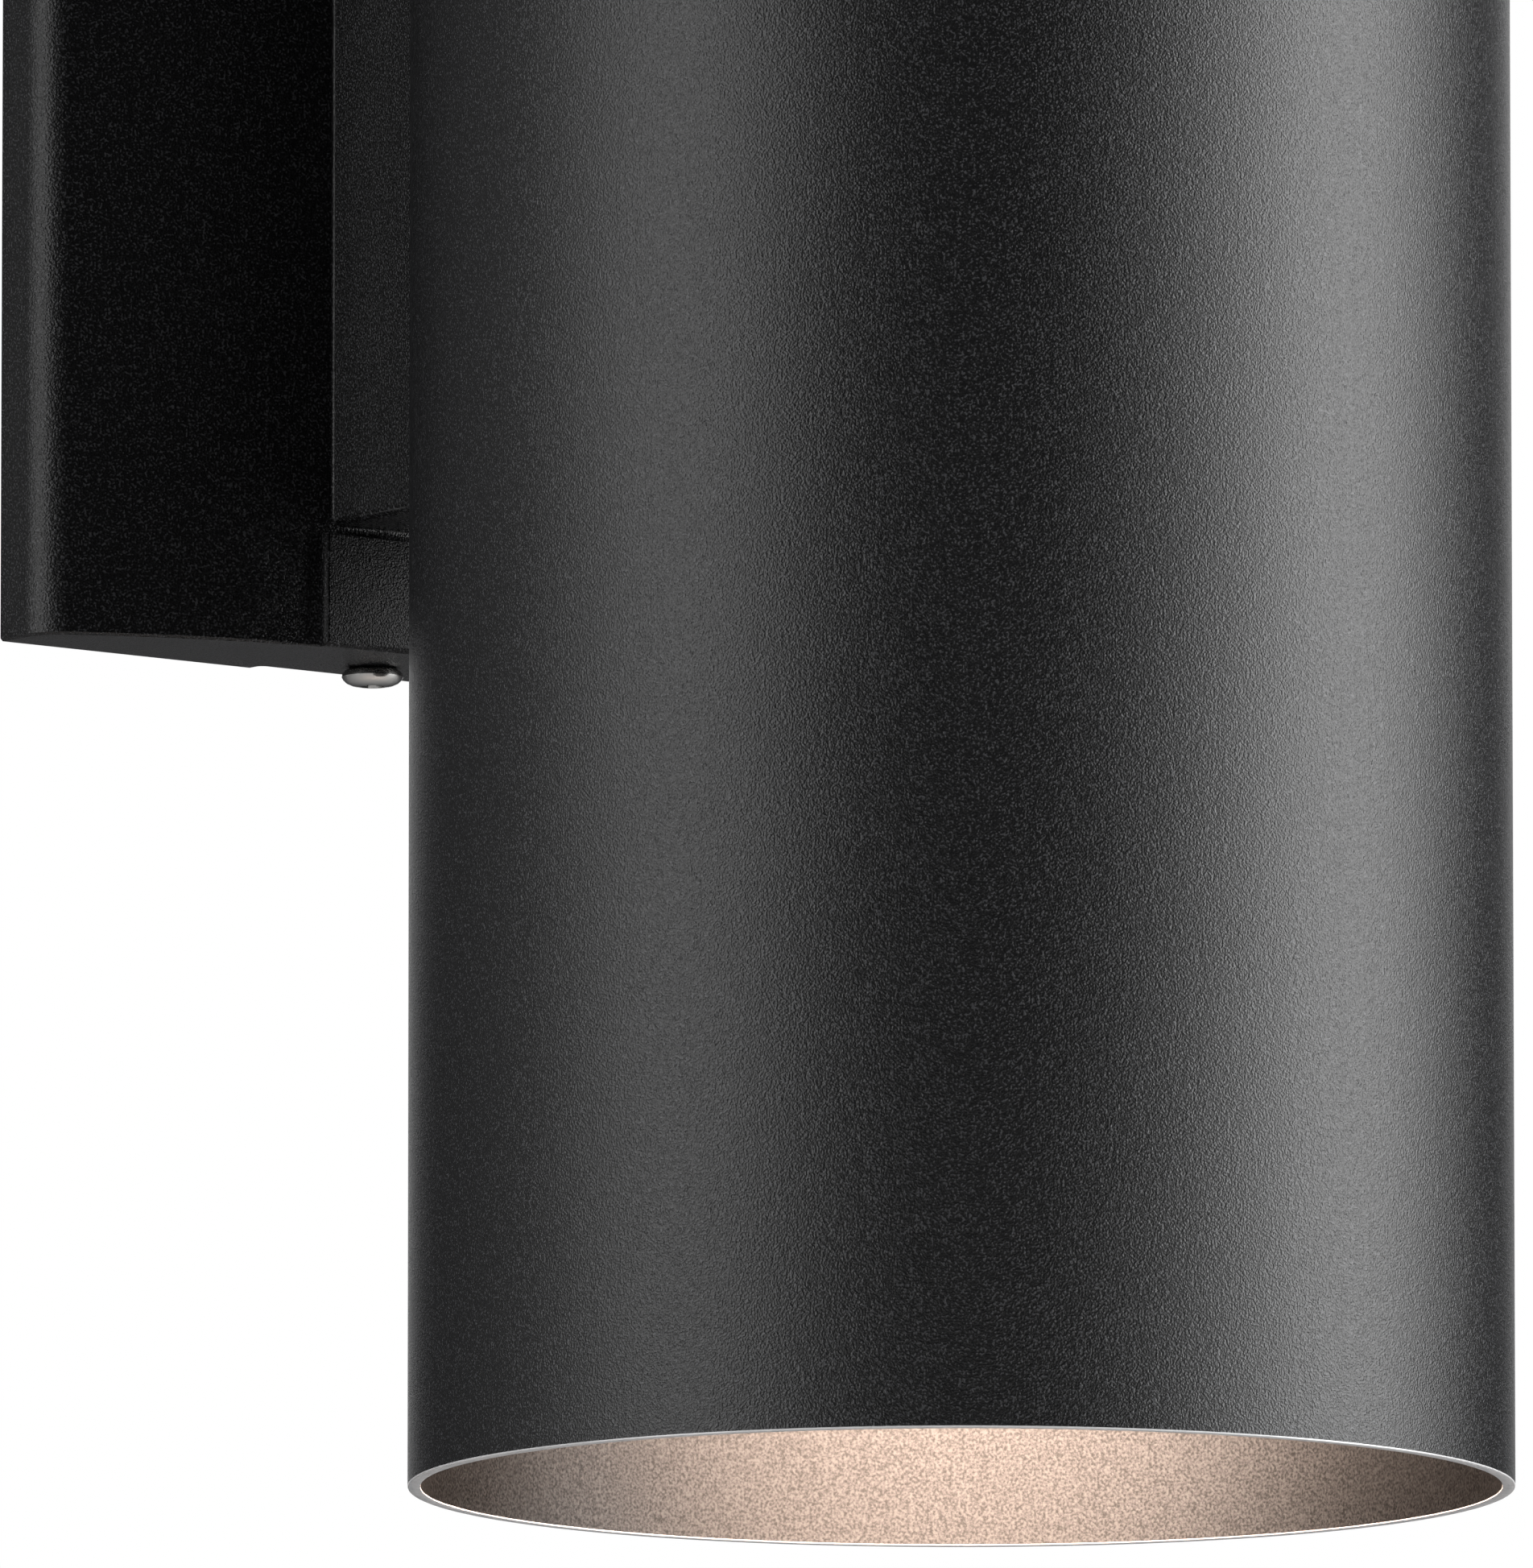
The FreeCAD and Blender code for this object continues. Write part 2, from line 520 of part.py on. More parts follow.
def lamp_base(side):
    """Brass shell that screws in, flared into the skirt that holds the glass."""
    inner, outer = LAMP_BASE_RADIUS - LAMP_SHEET, LAMP_BASE_RADIUS
    flare = LAMP_BASE_TOP + (LAMP_SKIRT_TOP - LAMP_BASE_TOP) / 3
    skirt = LAMP_SKIRT_RADIUS
    return turned(outline((inner, LAMP_INSULATOR_TOP), (outer, LAMP_INSULATOR_TOP),
                          (outer, LAMP_BASE_TOP), (skirt, flare), (skirt, LAMP_SKIRT_TOP),
                          (skirt - LAMP_SHEET, LAMP_SKIRT_TOP),
                          (skirt - LAMP_SHEET, flare + LAMP_SHEET / 2),
                          (inner, LAMP_BASE_TOP + LAMP_SHEET / 2)), side, LAMP_TIP)


def lamp_reflector(side):
    """Pressed glass bowl, open in front: a parabola in narrow cones, seated on the skirt."""
    glass = LAMP_GLASS
    depth = LAMP_BAND_HEIGHT - LAMP_SKIRT_TOP
    focus = (LAMP_RADIUS ** 2 - LAMP_SKIRT_RADIUS ** 2) / depth
    rises = [depth * (step / LAMP_CONES) ** 2 for step in range(LAMP_CONES + 1)]
    outside = [(math.sqrt(LAMP_SKIRT_RADIUS ** 2 + focus * rise), LAMP_SKIRT_TOP + rise)
               for rise in rises]
    inside = [(radius - glass, height) for radius, height in reversed(outside)]
    rim = [(LAMP_RADIUS, LAMP_RIM_HEIGHT), (LAMP_RADIUS - glass, LAMP_RIM_HEIGHT)]
    profile = outside + rim + inside
    return turned(outline(*profile), side, LAMP_TIP)


def lamp_lens(side):
    """Domed glass lens on the bowl's rim, each face of it in two cones."""
    bulge = LAMP_LENGTH - LAMP_RIM_HEIGHT
    flat = LAMP_RADIUS - LAMP_GLASS
    glass = LAMP_LENS_GLASS

    def crown(rise, reach):
        """Halfway point and top of a shallow ball-shaped dome on the rim."""
        ball = (reach ** 2 + rise ** 2) / (2 * rise)
        halfway = math.sqrt(ball ** 2 - (reach / 2) ** 2) - ball + rise
        return (reach / 2, LAMP_RIM_HEIGHT + halfway), (0, LAMP_RIM_HEIGHT + rise)

    inside = crown(bulge - glass, flat)
    outside = crown(bulge, LAMP_RADIUS)
    return turned(outline(inside[1], inside[0], (flat, LAMP_RIM_HEIGHT),
                          (LAMP_RADIUS, LAMP_RIM_HEIGHT), outside[0], outside[1]),
                  side, LAMP_TIP)


def lens_seat_height():
    """Underside of the seat that carries the upper lens."""
    return TUBE_LENGTH / 2 - LENS_RECESS - LENS_THICKNESS - LENS_GASKET - LENS_SEAT_HEIGHT


def ring(inner, outer, height, base):
    """A square-edged ring round the tube's axis."""
    return turned(outline((inner, 0), (outer, 0), (outer, height), (inner, height)), 1, base)


def lens_seat():
    """Ledge fixed in the bore."""
    return ring(BORE_RADIUS - LENS_SEAT_WIDTH, BORE_RADIUS - SEAT_GAP, LENS_SEAT_HEIGHT,
                lens_seat_height())


def lens_gasket():
    """Silicone ring between the ledge and the lens."""
    return ring(BORE_RADIUS - LENS_SEAT_WIDTH, BORE_RADIUS - LENS_GAP, LENS_GASKET,
                lens_seat_height() + LENS_SEAT_HEIGHT)


def lens_glass():
    """Clear tempered disc."""
    centre = Vector(0, AXIS_Y, TUBE_LENGTH / 2 - LENS_RECESS - LENS_THICKNESS)
    return rod(BORE_RADIUS - LENS_GAP, centre, centre + Vector(0, 0, LENS_THICKNESS))


def lens_ring():
    """Sprung ring that holds the lens down."""
    outer = BORE_RADIUS - SEAT_GAP
    return ring(outer - LENS_RING_WIRE, outer, LENS_RING_WIRE, TUBE_LENGTH / 2 - LENS_RECESS)


def nodes():
    """Every sub-part by name."""
    found = {
        "wall_strap": wall_strap(),
        "ground_screw": ground_screw(),
        "canopy": canopy(),
        "canopy_screws": Part.makeCompound(canopy_screws()),
        "tube": tube(),
        "clamp_block": clamp_block(),
        "tube_screws": Part.makeCompound(tube_screws()),
        "wire_bushing": wire_bushing(),
        "socket_bridge": socket_bridge(),
        "bridge_screws": Part.makeCompound(bridge_screws()),
        "holder_bolts": Part.makeCompound(holder_bolts()),
        "holder_nuts": Part.makeCompound(holder_nuts()),
        "lens_seat": lens_seat(),
        "lens_gasket": lens_gasket(),
        "lens_glass": lens_glass(),
        "lens_ring": lens_ring(),
    }
    for name, side in (("upper", 1), ("lower", -1)):
        found["lampholder_" + name] = lampholder(side)
        found["socket_shell_" + name] = socket_shell(side)
        found["socket_contact_" + name] = socket_contact(side)
        found["lamp_" + name + "_contact"] = lamp_contact(side)
        found["lamp_" + name + "_insulator"] = lamp_insulator(side)
        found["lamp_" + name + "_base"] = lamp_base(side)
        found["lamp_" + name + "_reflector"] = lamp_reflector(side)
        found["lamp_" + name + "_lens"] = lamp_lens(side)
    return found


os.makedirs("parts", exist_ok=True)
for name, shape in nodes().items():
    shape.exportStep(os.path.join("parts", name + ".step"))
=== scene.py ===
"""Dressed model of the outdoor wall cylinder that lights up and down.

Metres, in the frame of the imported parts: the wall is the plane y = 0, the light stands out
towards -Y and Z is up. The light's own sizes are written in millimetres and scaled by MM.
Each section below makes one real piece or one group of like pieces.
"""
import math

import bmesh
import bpy
from mathutils import Matrix, Vector


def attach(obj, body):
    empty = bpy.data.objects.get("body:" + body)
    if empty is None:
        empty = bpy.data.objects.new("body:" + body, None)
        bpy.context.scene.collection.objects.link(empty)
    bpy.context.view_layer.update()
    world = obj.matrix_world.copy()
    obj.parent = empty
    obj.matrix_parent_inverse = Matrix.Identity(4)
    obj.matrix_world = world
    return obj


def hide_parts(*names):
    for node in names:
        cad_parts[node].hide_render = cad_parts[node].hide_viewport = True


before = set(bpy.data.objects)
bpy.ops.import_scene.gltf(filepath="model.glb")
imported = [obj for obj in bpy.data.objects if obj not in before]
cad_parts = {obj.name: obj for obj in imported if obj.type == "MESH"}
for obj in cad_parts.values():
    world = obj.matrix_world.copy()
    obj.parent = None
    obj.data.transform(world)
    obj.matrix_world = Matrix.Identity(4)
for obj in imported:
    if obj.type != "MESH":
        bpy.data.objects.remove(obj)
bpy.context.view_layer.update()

MM = 0.001


# Wall strap: a strip of zinc-plated steel, stamped and folded into a shallow tray. It is
# screwed to the wall box, and the tabs at its two ends are tapped for the canopy's screws.
class Wire:
    """A socket of a node tree; arithmetic on it lays in Math nodes."""

    def __init__(self, nodes, socket):
        self.nodes, self.socket = nodes, socket

    def math(self, operation, *values):
        return self.nodes.node("ShaderNodeMath", {"operation": operation},
                               dict(enumerate(values)))

    def __add__(self, other):
        return self.math("ADD", self, other)

    def __mul__(self, other):
        return self.math("MULTIPLY", self, other)

    __radd__, __rmul__ = __add__, __mul__


class Nodes:
    """A node tree that is laid up one node at a time."""

    def __init__(self, tree):
        self.tree = tree

    def node(self, kind, settings=None, sockets=None, out=0):
        """A new node's output; its settings go in first, then its values and links."""
        made = self.tree.nodes.new(kind)
        for name, value in (settings or {}).items():
            setattr(made, name, value)
        for socket, value in (sockets or {}).items():
            if isinstance(value, Wire):
                self.lead(value, made, socket)
            else:
                made.inputs[socket].default_value = value
        return Wire(self, made.outputs[out])

    def lead(self, wire, node, socket):
        """Runs a wire into a node that is there already."""
        self.tree.links.new(wire.socket, node.inputs[socket])

    def between(self, value, low, high):
        """A value that runs from 0 to 1 between two limits."""
        return self.node("ShaderNodeMapRange", {"interpolation_type": "SMOOTHSTEP"},
                         {"Value": value, "From Min": low, "From Max": high})

    def blend(self, share, first, second):
        """Two colours mixed by a share of the second, at a Mix node's sockets for colours."""
        colours = [colour if isinstance(colour, Wire) else (*colour, 1)
                   for colour in (first, second)]
        return self.node("ShaderNodeMix", {"data_type": "RGBA"},
                         {0: share, 6: colours[0], 7: colours[1]}, out=2)


class Finish(Nodes):
    """A principled material, its patterns laid on the piece's own coordinates."""

    def __init__(self, name, colour, **constants):
        self.material = bpy.data.materials.new(name)
        self.material.use_nodes = True
        super().__init__(self.material.node_tree)
        self.shader = self.tree.nodes["Principled BSDF"]
        self.shader.inputs["Base Color"].default_value = (*colour, 1)
        for socket, value in constants.items():
            self.shader.inputs[socket.replace("_", " ")].default_value = value
        self.place = self.node("ShaderNodeTexCoord", out="Object")

    def grain(self, scale, detail=2, stretch=(1, 1, 1)):
        """A noise whose waves are a metre over scale long."""
        place = self.node("ShaderNodeMapping", sockets={"Vector": self.place, "Scale": stretch})
        return self.node("ShaderNodeTexNoise",
                         sockets={"Vector": place, "Scale": scale, "Detail": detail})

    def cells(self, scale, out):
        """Voronoi cells a metre over scale across."""
        return self.node("ShaderNodeTexVoronoi", sockets={"Vector": self.place, "Scale": scale},
                         out=out)

    def feed(self, **sockets):
        """Runs wires into the shader's own sockets."""
        for socket, wire in sockets.items():
            self.lead(wire, self.shader, socket.replace("_", " "))

    def raise_by(self, height, depth, strength=1.0):
        """Relief on the surface, depth metres deep."""
        self.feed(Normal=self.node("ShaderNodeBump", sockets={
            "Height": height, "Distance": depth, "Strength": strength}))


def shown(name, shape, finishes, smooth=30):
    """Turns a bmesh into an object, shaded smooth up to an angle in degrees."""
    mesh = bpy.data.meshes.new(name)
    shape.to_mesh(mesh)
    shape.free()
    for finish in finishes:
        mesh.materials.append(finish.material)
    mesh.shade_smooth()
    mesh.set_sharp_from_angle(angle=math.radians(smooth))
    piece = bpy.data.objects.new(name, mesh)
    bpy.context.scene.collection.objects.link(piece)
    return piece


SEAM = 0.002 * MM


def drawn(node):
    """The drawn shape of a node, its loose triangles joined."""
    shape = bmesh.new()
    shape.from_mesh(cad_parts[node].data)
    bmesh.ops.remove_doubles(shape, verts=shape.verts, dist=SEAM)
    bmesh.ops.dissolve_degenerate(shape, edges=shape.edges, dist=SEAM)
    return shape


def even_shading(piece):
    """Lets the large faces set the shading of the small ones between them."""
    piece.modifiers.new("even_shading", "WEIGHTED_NORMAL").keep_sharp = True


def plated_zinc(name, colour):
    """Zinc on steel sheet: cloudy, faintly spangled and rolled along its length."""
    finish = Finish(name, colour, Metallic=1.0)
    pale = tuple(1.25 * part for part in colour)
    cloud = finish.grain(60, detail=4)
    shade = finish.node("ShaderNodeSeparateColor",
                        sockets={"Color": finish.cells(220, out="Color")})
    finish.feed(Base_Color=finish.blend(cloud * 0.7 + shade * 0.3, colour, pale),
                Roughness=0.26 + cloud * 0.16 + shade * 0.08)
    finish.raise_by(finish.grain(1500, stretch=(1, 1, 0.2)), 0.02 * MM)
    return finish


strap_plating = plated_zinc("strap_plating", (0.50, 0.51, 0.53))
strap = shown("strap_plated", drawn("wall_strap"), [strap_plating])
even_shading(strap)
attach(strap, "fixture")
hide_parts("wall_strap")


# Ground screw: a small pan-head steel screw dyed green, turned into the strap, for the bare
# earth leads. Its head has a cross recess, cold-headed, and its thread is rolled.
WELD = 0.001 * MM
LEVEL = 1e-8
# Screw heads in profile, from the top to the seat, as shares of their radius and height.
PAN = ((0, 1), (0.40, 0.985), (0.66, 0.90), (0.85, 0.70), (0.96, 0.40), (1, 0.14), (0.985, 0),
       (0, 0))
BUTTON = ((0, 1), (0.40, 0.985), (0.66, 0.92), (0.84, 0.79), (0.95, 0.62), (1, 0.46),
          (0.97, 0.26), (0.88, 0.10), (0.76, 0), (0, 0))
# The cross recess: its reach is a share of the head's radius, its width of the diameter and
# its depth of the height, and its floor is a share of its mouth.
RECESS_REACH, RECESS_WIDTH, RECESS_DEPTH, RECESS_FLOOR = 0.52, 0.17, 0.55, 0.45
# The thread: its depth is a share of its diameter, and the middle of a flank of its depth. It
# is made with spare turns at both ends, cut square, and bites a little into the head.
THREAD_DEPTH, THREAD_FLANK, THREAD_BITE = 0.12, 0.35, 0.02
TURNS_BELOW, TURNS_ABOVE = 2, 1
TO_ROOM = (0, -1, 0)


def everything(shape):
    return shape.verts[:] + shape.edges[:] + shape.faces[:]


def turned(shape, angle, steps, rise=0.0, merge=False):
    """Turns all of a shape about the Z axis, a rise in metres higher at each step."""
    bmesh.ops.spin(shape, geom=everything(shape), cent=(0, 0, 0), axis=(0, 0, 1),
                   dvec=(0, 0, rise), angle=angle, steps=steps, use_merge=merge)
    bmesh.ops.remove_doubles(shape, verts=shape.verts, dist=WELD)


def spun(points, steps=48, closed=False):
    """A profile of radius and height in millimetres, turned about the Z axis."""
    shape = bmesh.new()
    corners = [shape.verts.new((radius * MM, 0, height * MM)) for radius, height in points]
    ends = corners[1:] + corners[:1] if closed else corners[1:]
    for pair in zip(corners, ends):
        shape.edges.new(pair)
    turned(shape, math.tau, steps, merge=True)
    bmesh.ops.recalc_face_normals(shape, faces=shape.faces)
    return shape


def soften(shape, width, segments=3, least=30):
    """Rounds every edge that is sharper than an angle in degrees."""
    sharp = [edge for edge in shape.edges if len(edge.link_faces) == 2
             and edge.calc_face_angle() > math.radians(least)]
    bmesh.ops.bevel(shape, geom=sharp, offset=width * MM, offset_type="OFFSET",
                    segments=segments, profile=0.5, affect="EDGES", clamp_overlap=True,
                    material=-1)
    return shape


def levelled(shape, height, way):
    """Cuts a shape level at a height and drops what is above it, or below for a way of -1."""
    bmesh.ops.bisect_plane(shape, geom=everything(shape), dist=LEVEL,
                           plane_co=(0, 0, height * MM), plane_no=(0, 0, way),
                           clear_outer=True)


def rolled_thread(radius, depth, pitch, low, high, steps=24):
    """A right-hand thread about the Z axis, cut square at both heights."""
    shape = bmesh.new()
    flank = radius - THREAD_FLANK * depth
    wave = [(radius - depth, 0), (flank, 0.25), (radius, 0.5), (flank, 0.75)]
    turns = math.ceil((high - low) / pitch) + TURNS_BELOW + TURNS_ABOVE
    line = [shape.verts.new((out * MM, 0, (low + (turn - TURNS_BELOW + part) * pitch) * MM))
            for turn in range(turns) for out, part in wave]
    for pair in zip(line, line[1:]):
        shape.edges.new(pair)
    turned(shape, math.tau, steps, rise=pitch / steps * MM)
    levelled(shape, low, -1)
    levelled(shape, high, 1)
    bmesh.ops.recalc_face_normals(shape, faces=shape.faces)
    return shape


def capped(shape):
    """Closes the two square ends of a thread."""
    rims = [edge for edge in shape.edges if edge.is_boundary]
    bmesh.ops.edgeloop_fill(shape, edges=rims)
    bmesh.ops.recalc_face_normals(shape, faces=shape.faces)
    return shape


def join(shape, other):
    """Adds one bmesh to another as a shell of its own."""
    mesh = bpy.data.meshes.new("loose")
    other.to_mesh(mesh)
    other.free()
    shape.from_mesh(mesh)
    bpy.data.meshes.remove(mesh)
    return shape


def cross_cut(shape, reach, width, top, depth):
    """Sinks a tapered cross into the top of a screw head."""
    head = shown("head", shape, [])
    cross = bmesh.new()
    for turn in (45, 135):
        wing = bmesh.ops.create_cube(cross, size=1)["verts"]
        bmesh.ops.scale(cross, verts=wing, vec=(2 * reach * MM, width * MM, 2 * depth * MM))
        for vert in wing:
            if vert.co.z < 0:
                vert.co.x *= RECESS_FLOOR
        bmesh.ops.rotate(cross, verts=wing, cent=(0, 0, 0),
                         matrix=Matrix.Rotation(math.radians(turn), 3, "Z"))
        bmesh.ops.translate(cross, verts=wing, vec=(0, 0, top * MM))
    cutter = shown("cutter", cross, [])
    cut = head.modifiers.new("recess", "BOOLEAN")
    cut.operation, cut.solver, cut.use_self, cut.object = "DIFFERENCE", "EXACT", True, cutter
    result = bmesh.new()
    result.from_object(head, bpy.context.evaluated_depsgraph_get())
    for spare in (head, cutter):
        mesh = spare.data
        bpy.data.objects.remove(spare)
        bpy.data.meshes.remove(mesh)
    return result


def pan_screw(diameter, height, thread, length, pitch=0.7, profile=PAN):
    """A screw with its head up and the underside of the head at height 0."""
    radius = diameter / 2
    head = spun([(part * radius, rise * height) for part, rise in profile])
    head = cross_cut(head, RECESS_REACH * radius, RECESS_WIDTH * diameter, height,
                     RECESS_DEPTH * height)
    shank = rolled_thread(thread / 2, THREAD_DEPTH * thread, pitch, -length, THREAD_BITE)
    return join(head, capped(shank))


def set_down(shape, seat, up):
    """Stands a shape on its seat, its Z axis towards up."""
    turn = Vector(up).to_track_quat("Z", "Y").to_matrix().to_4x4()
    shape.transform(Matrix.Translation(Vector(seat) * MM) @ turn)
    return shape


earth_dye = Finish("earth_dye", (0.02, 0.16, 0.05), Metallic=0.7)
dye_cloud = earth_dye.grain(900, detail=3)
earth_dye.feed(Base_Color=earth_dye.blend(dye_cloud, (0.015, 0.13, 0.04), (0.04, 0.26, 0.09)),
               Roughness=0.25 + dye_cloud * 0.2)
green_screw = pan_screw(diameter=8.0, height=2.4, thread=4.0, length=1.85)
earth_screw = shown("earth_screw", set_down(green_screw, (0, -2, 18), TO_ROOM), [earth_dye], 40)
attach(earth_screw, "fixture")
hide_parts("ground_screw")


# Canopy and arm: one aluminium casting, a bowed cover open to the wall with a hollow arm that
# is coped to the tube. It is blasted and powder coated in a fine-grained satin black, which
# is duller on the flat lands above and below the arm.
COAT_BLACK, COAT_FLECK = (0.0020, 0.0020, 0.0022), (0.060, 0.061, 0.065)
PEBBLE_SCALE = 3300
LAND_START, LAND_HALF_WIDTH, LAND_Y = 83.8, 19.75, -22.0
LAND = 1  # its place among the casting's finishes


def powder_coat(name, rough, gloss):
    """Satin black with the fine pebble and the pale flecks of a baked powder."""
    finish = Finish(name, COAT_BLACK, Specular_IOR_Level=gloss)
    pebble = finish.grain(PEBBLE_SCALE, detail=1)
    fleck = finish.between(finish.grain(PEBBLE_SCALE, detail=0), 0.57, 0.74)
    finish.feed(Base_Color=finish.blend(fleck, COAT_BLACK, COAT_FLECK),
                Roughness=rough + finish.grain(14, detail=3) * 0.05 + pebble * 0.06)
    finish.raise_by(pebble + finish.grain(1100, detail=1) * 0.3, 0.17 * MM, 0.8)
    return finish


canopy_coat = powder_coat("canopy_coat", rough=0.22, gloss=0.5)
land_coat = powder_coat("land_coat", rough=0.28, gloss=0.22)
casting = drawn("canopy")
for face in casting.faces:
    middle = face.calc_center_median()
    if (abs(middle.z) > LAND_START * MM and abs(middle.x) < LAND_HALF_WIDTH * MM
            and middle.y < LAND_Y * MM and abs(face.normal.z) < 0.8):
        face.material_index = LAND
canopy = shown("canopy_cast", casting, [canopy_coat, land_coat], 24)
even_shading(canopy)
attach(canopy, "fixture")
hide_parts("canopy")


# Canopy screws: two bright nickel-plated button heads, rounded under as well, with a cross
# recess. One goes up through the canopy's underside and one down through its top, into the
# strap's tabs.
CANOPY_HALF_HEIGHT, CANOPY_SCREW_Y = 100.0, -9.8


def bright_plate(name, colour, rough):
    """A thin plating with a faint haze and polishing marks."""
    finish = Finish(name, colour, Metallic=1.0)
    haze = finish.grain(700, detail=3)
    finish.feed(Base_Color=finish.blend(haze, tuple(0.85 * part for part in colour), colour),
                Roughness=rough + haze * 0.10)
    finish.raise_by(finish.grain(2600), 0.006 * MM, 0.5)
    return finish


screw_plate = bright_plate("screw_plate", (0.78, 0.77, 0.75), 0.08)
pair = bmesh.new()
for side in (-1, 1):
    button = pan_screw(diameter=8.8, height=2.6, thread=4.0, length=12.0, profile=BUTTON)
    join(pair, set_down(button, (0, CANOPY_SCREW_Y, CANOPY_HALF_HEIGHT * side), (0, 0, side)))
cover_screws = shown("cover_screws", pair, [screw_plate], 40)
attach(cover_screws, "fixture")
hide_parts("canopy_screws")


# Tube: an aluminium extrusion cut square at both ends, powder coated like the canopy. The two
# cut faces are machined bright, and their near-white, mostly matt colour is also a painted
# reflection of the pale floor below them. The bore has a thin dark coat over turning marks, so
# the lamps' glow stands as a tall streak on it and fades to both sides.
TUBE_Y, TUBE_HALF_LENGTH, TUBE_RADIUS, BORE_RADIUS = -144.0, 228.6, 76.2, 74.4
RIM_BREAK = 0.22
BORE, CUT = 1, 2  # their places among the tube's finishes
BORE_DARK, BORE_PALE = (0.088, 0.086, 0.084), (0.225, 0.223, 0.220)

shell = spun([(BORE_RADIUS, -TUBE_HALF_LENGTH), (TUBE_RADIUS, -TUBE_HALF_LENGTH),
              (TUBE_RADIUS, TUBE_HALF_LENGTH), (BORE_RADIUS, TUBE_HALF_LENGTH)], 256, True)
soften(shell, RIM_BREAK, 2)
for face in shell.faces:
    middle = face.calc_center_median()
    if abs(middle.z) > (TUBE_HALF_LENGTH - RIM_BREAK) * MM:
        face.material_index = CUT
    elif math.hypot(middle.x, middle.y) < (BORE_RADIUS + TUBE_RADIUS) / 2 * MM:
        face.material_index = BORE
shell.transform(Matrix.Translation((0, TUBE_Y * MM, 0)))

tube_coat = powder_coat("tube_coat", rough=0.24, gloss=0.75)
bore_coat = Finish("bore_coat", (0.15, 0.15, 0.15), Metallic=1.0, Anisotropic=0.9,
                   Anisotropic_Rotation=0.25, Specular_Tint=(0.25, 0.25, 0.25, 1))
bore_pebble = bore_coat.between(bore_coat.grain(2600, detail=1), 0.22, 0.78)
bore_coat.feed(Base_Color=bore_coat.blend(bore_pebble, BORE_DARK, BORE_PALE),
               Roughness=0.66 + bore_pebble * 0.06)
bore_coat.raise_by(bore_pebble, 0.03 * MM, 0.6)
# The cut faces: pale bare metal, made near white and mostly matt as a painted reflection of the
# floor.
bare_cut_and_painted_reflection = Finish("bare_cut_and_painted_reflection", (0.92, 0.92, 0.93), Metallic=0.15)
cut_marks = bare_cut_and_painted_reflection.grain(900)
bare_cut_and_painted_reflection.feed(Base_Color=bare_cut_and_painted_reflection.blend(cut_marks, (0.88, 0.88, 0.89), (0.96, 0.96, 0.96)),
              Roughness=0.18 + cut_marks * 0.12)
bare_cut_and_painted_reflection.raise_by(cut_marks, 0.01 * MM)
tube = shown("tube_shell", shell, [tube_coat, bore_coat, bare_cut_and_painted_reflection], 40)
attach(tube, "fixture")
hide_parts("tube")


# Clamp block: a length of aluminium bar, milled to the curve of the bore and tapped for the
# bridge's screws. It backs the tube where the four tube screws pull it to the arm.
clamp_metal = Finish("clamp_metal", (0.62, 0.63, 0.64), Metallic=1.0)
mill_lines = clamp_metal.grain(2400, stretch=(1, 1, 0.03))
clamp_metal.feed(
    Base_Color=clamp_metal.blend(clamp_metal.grain(40, detail=3), (0.55, 0.56, 0.57),
                                 (0.70, 0.70, 0.71)),
    Roughness=0.28 + mill_lines * 0.18)
clamp_metal.raise_by(mill_lines, 0.02 * MM)
clamp = shown("clamp_bar", drawn("clamp_block"), [clamp_metal])
even_shading(clamp)
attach(clamp, "fixture")
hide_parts("clamp_block")


# Tube screws: four zinc-plated pan heads, driven from inside the bore through the block and
# the tube into the end of the arm.
CLAMP_FACE_Y, SCREW_COLUMN, TUBE_SCREW_ROW = -75.75, 9.0, 55.0

zinc_plate = bright_plate("zinc_plate", (0.60, 0.62, 0.64), 0.22)
four = bmesh.new()
for x in (-SCREW_COLUMN, SCREW_COLUMN):
    for z in (-TUBE_SCREW_ROW, TUBE_SCREW_ROW):
        screw = pan_screw(diameter=9.0, height=3.0, thread=5.0, length=12.9, pitch=0.8)
        join(four, set_down(screw, (x, CLAMP_FACE_Y, z), TO_ROOM))
tube_bolts = shown("tube_bolts", four, [zinc_plate], 40)
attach(tube_bolts, "fixture")
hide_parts("tube_screws")


# Wire bushing: a moulded nylon sleeve with a flange, pressed through the block, the tube and
# the arm so that the leads don't rub on metal.
LEAD_RADIUS, SLEEVE_RADIUS, SLEEVE_LENGTH = 5.5, 7.8, 13.95
FLANGE_RADIUS, FLANGE_THICKNESS, LEAD_HOLE_Z = 10.0, 1.5, 24.0

nylon = Finish("nylon", (0.62, 0.60, 0.55), IOR=1.53)
nylon_cloud = nylon.grain(300, detail=3)
nylon.feed(Base_Color=nylon.blend(nylon_cloud, (0.58, 0.56, 0.51), (0.68, 0.66, 0.61)),
           Roughness=0.42 + nylon_cloud * 0.12)
nylon.raise_by(nylon.grain(2200), 0.01 * MM)
sleeve = spun([(LEAD_RADIUS, -SLEEVE_LENGTH), (SLEEVE_RADIUS, -SLEEVE_LENGTH),
               (SLEEVE_RADIUS, 0), (FLANGE_RADIUS, 0), (FLANGE_RADIUS, FLANGE_THICKNESS),
               (LEAD_RADIUS, FLANGE_THICKNESS)], 48, True)
soften(sleeve, 0.4)
set_down(sleeve, (0, CLAMP_FACE_Y, LEAD_HOLE_Z), TO_ROOM)
bushing = shown("lead_bushing", sleeve, [nylon], 40)
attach(bushing, "fixture")
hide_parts("wire_bushing")


# Bridge: an angle of galvanised sheet. Its leg is screwed to the clamp block, and its shelf
# reaches across the bore to carry the two lampholders back to back.
bridge_plating = plated_zinc("bridge_plating", (0.52, 0.53, 0.55))
bridge = shown("bridge_plated", drawn("socket_bridge"), [bridge_plating])
even_shading(bridge)
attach(bridge, "fixture")
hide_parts("socket_bridge")


